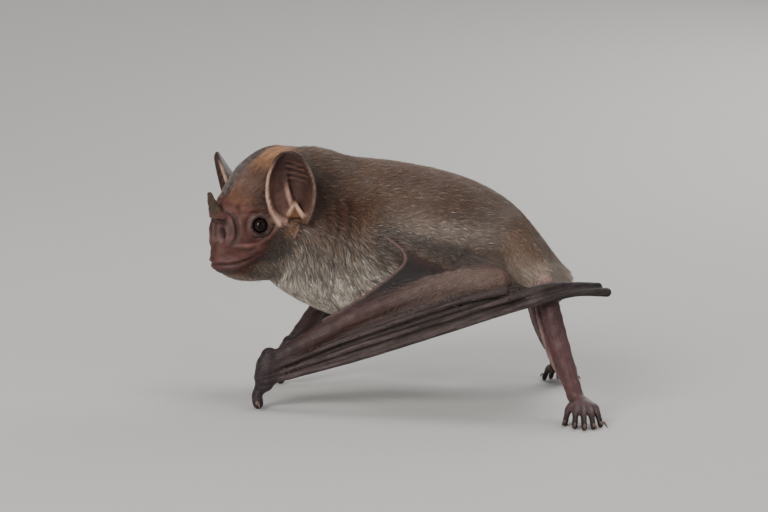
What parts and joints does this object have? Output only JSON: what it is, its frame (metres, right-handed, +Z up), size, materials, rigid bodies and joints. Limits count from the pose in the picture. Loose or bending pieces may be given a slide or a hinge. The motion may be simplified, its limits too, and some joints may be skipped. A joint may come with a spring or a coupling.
{
  "type": "vampire bat model",
  "caption": "Life-size still model of a common vampire bat standing on its wrists and hind feet with folded wings.",
  "frame": {"origin": "centre of the base, on the floor under the middle of the overall box", "axes": "+X from head to rump, +Y to the bat's right, +Z up"},
  "size_m": [0.0884, 0.082, 0.0552],
  "materials": {
    "coat": "short dense fur",
    "bare_skin": "satin, finely wrinkled",
    "wing_skin": "satin, finely wrinkled",
    "claw": "semi-gloss horn",
    "eye": "polished"
  },
  "bodies": {
    "root": {"ear_left": "bare_skin", "ear_right": "bare_skin", "eye_left": "eye", "eye_right": "eye", "finger_3_left": "wing_skin", "finger_3_right": "wing_skin", "finger_4_left": "wing_skin", "finger_4_right": "wing_skin", "finger_5_left": "wing_skin", "finger_5_right": "wing_skin", "foot_left": "bare_skin", "foot_right": "bare_skin", "forearm_left": "bare_skin", "forearm_right": "bare_skin", "hand_left": "wing_skin", "hand_right": "wing_skin", "head": "coat", "leg_web_left": "wing_skin", "leg_web_right": "wing_skin", "lower_jaw": "bare_skin", "neck": "coat", "nose_leaf": "bare_skin", "propatagium_left": "wing_skin", "propatagium_right": "wing_skin", "shin_left": "bare_skin", "shin_right": "bare_skin", "tail_web": "bare_skin", "thigh_left": "coat", "thigh_right": "coat", "thumb_claw_left": "claw", "thumb_claw_right": "claw", "thumb_left": "wing_skin", "thumb_right": "wing_skin", "toe_claw_left_1": "claw", "toe_claw_left_2": "claw", "toe_claw_left_3": "claw", "toe_claw_left_4": "claw", "toe_claw_left_5": "claw", "toe_claw_right_1": "claw", "toe_claw_right_2": "claw", "toe_claw_right_3": "claw", "toe_claw_right_4": "claw", "toe_claw_right_5": "claw", "tragus_left": "bare_skin", "tragus_right": "bare_skin", "trunk": "coat", "upper_arm_left": "coat", "upper_arm_right": "coat", "wing_fold_left": "wing_skin", "wing_fold_right": "wing_skin"}
  },
  "joints": []
}
